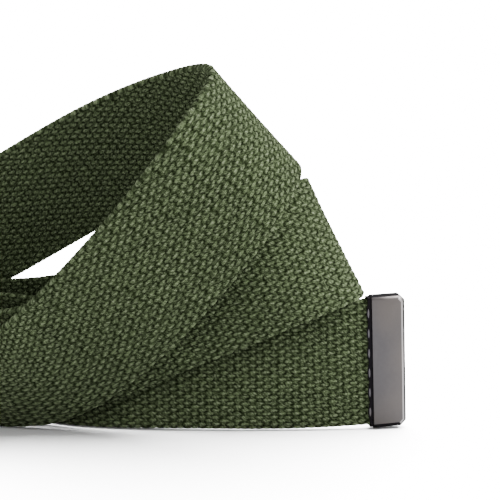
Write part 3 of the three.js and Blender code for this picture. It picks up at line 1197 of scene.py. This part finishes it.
class WEBBELT_OT_buckle(bpy.types.Operator):
    """Bend the box buckle, with its clamp plate and its bar, on the strap's other end"""

    bl_idname = "web_belt.buckle"
    bl_label = "Build the buckle"
    bl_options = {"REGISTER", "UNDO"}

    def execute(self, context):
        web = setting("webbing")
        tip = setting("tip")
        box = setting("buckle")
        face = web.thickness / 2 + CLEARANCE + box.metal
        back = face - box.metal - box.passage - box.bar - box.margin
        half = web.width / 2 + CLEARANCE + box.metal
        inner = half - box.metal
        near = -box.clamp
        far = near + box.length
        satin = satin_metal("satin_buckle", tip.face_colour, roughness=0.36, grain=0.06)
        parts = [
            bent_channel(box, near, far, back, face, half),
            clamp_plate(web, box, near, inner),
            buckle_bar(box, far, back, inner),
        ]
        for part in parts:
            part.data.materials.append(satin)
        piece = join(parts)
        middle, ahead, _, _, _ = placed_route(web)
        settle(piece, end_frame(middle[-1], ahead[-1], (0, 0, 1)))
        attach(piece, "root")
        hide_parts("box_buckle")
        return {"FINISHED"}


def facing(way):
    """The turn of a light or a camera that looks that way."""
    return way.to_track_quat("-Z", "Y").to_euler()


def add_light(data, towards, receivers):
    """A light of its own data's name that stands towards there and lights only its receivers."""
    light = add_object(data.name, data)
    light.rotation_euler = facing(-towards)
    light.light_linking.receiver_collection = receivers
    return light


def lay_floor(stage):
    """The pale floor, with its own suns that light nothing else and share out its paleness."""
    clear_selection()
    bpy.ops.mesh.primitive_plane_add(size=FLOOR_WIDTH, location=(0, 0, 0))
    floor = bpy.context.object
    floor.name = "floor"
    floor.data.materials.append(studio_floor(stage.floor_colour, stage.bounce))
    lit = bpy.data.collections.new("floor_only")
    lit.objects.link(floor)
    for name, direction, angle, share in FLOOR_SUNS:
        towards = Vector(direction).normalized()
        sun = bpy.data.lights.new(name, "SUN")
        sun.angle = math.radians(angle)
        sun.energy = share * stage.paleness * math.pi / stage.floor_colour[1] / towards.z
        add_light(sun, towards, lit)
    return floor


def set_camera(stage, target):
    rise = stage.camera_elevation
    back = Vector((0, -math.cos(rise), math.sin(rise)))
    data = bpy.data.cameras.new("camera")
    data.lens = stage.camera_lens
    data.sensor_width = SENSOR_WIDTH
    data.clip_start = NEAREST_SEEN
    camera = add_object("camera", data)
    camera.location = target + back * stage.camera_distance
    camera.rotation_euler = facing(-back)
    bpy.context.scene.camera = camera


def add_lamp(name, target, direction, distance, width, power, receivers):
    """A square soft lamp, turned towards the target, that lights only its receivers."""
    data = bpy.data.lights.new(name, "AREA")
    data.shape = "SQUARE"
    data.size = width
    data.energy = power
    towards = Vector(direction).normalized()
    lamp = add_light(data, towards, receivers)
    lamp.location = target + towards * distance


class WEBBELT_OT_stage(bpy.types.Operator):
    """Lay the pale floor and set the lights and the camera"""

    bl_idname = "web_belt.stage"
    bl_label = "Set the stage"
    bl_options = {"REGISTER", "UNDO"}

    def execute(self, context):
        stage = setting("stage")
        floor = lay_floor(stage)
        spared = bpy.data.collections.new("all_but_floor")
        spared.objects.link(floor)
        spared.collection_objects[0].light_linking.link_state = "EXCLUDE"
        context.scene.world = studio_world(stage.paleness, stage.surround)
        start = frame_shift(setting("webbing"))
        target = Vector((start[0], start[1], start[2] + stage.camera_height))
        set_camera(stage, target)
        for name, direction, distance, width, power in LAMPS:
            add_lamp(name, target, direction, distance, width, power, spared)
        return {"FINISHED"}


class WEBBELT_PT_panel(bpy.types.Panel):
    """Lists the belt's pieces and the stage"""

    bl_idname = "WEBBELT_PT_panel"
    bl_label = "Web Belt"
    bl_space_type = "VIEW_3D"
    bl_region_type = "UI"
    bl_category = "Web Belt"

    def draw(self, context):
        for name, group, operator in PARTS:
            rows = self.layout.box()
            for key in group.__annotations__:
                rows.prop(setting(name), key)
            rows.operator(operator.bl_idname)


# The settings' names and groups, and the operators that use them, in the order that they run
PARTS = [
    ("webbing", WebbingSettings, WEBBELT_OT_strap),
    ("tip", TipSettings, WEBBELT_OT_end_tip),
    ("buckle", BuckleSettings, WEBBELT_OT_buckle),
    ("stage", StageSettings, WEBBELT_OT_stage),
]
CLASSES = [part[1] for part in PARTS] + [part[2] for part in PARTS] + [WEBBELT_PT_panel]


def register():
    for entry in CLASSES:
        bpy.utils.register_class(entry)
    for name, group, _ in PARTS:
        setattr(bpy.types.Scene, "web_belt_" + name, bpy.props.PointerProperty(type=group))


def unregister():
    for name, _, _ in PARTS:
        delattr(bpy.types.Scene, "web_belt_" + name)
    for entry in reversed(CLASSES):
        bpy.utils.unregister_class(entry)


def main():
    register()
    bpy.ops.web_belt.strap()
    bpy.ops.web_belt.end_tip()
    bpy.ops.web_belt.buckle()
    bpy.ops.web_belt.stage()


if __name__ == "__main__":
    main()
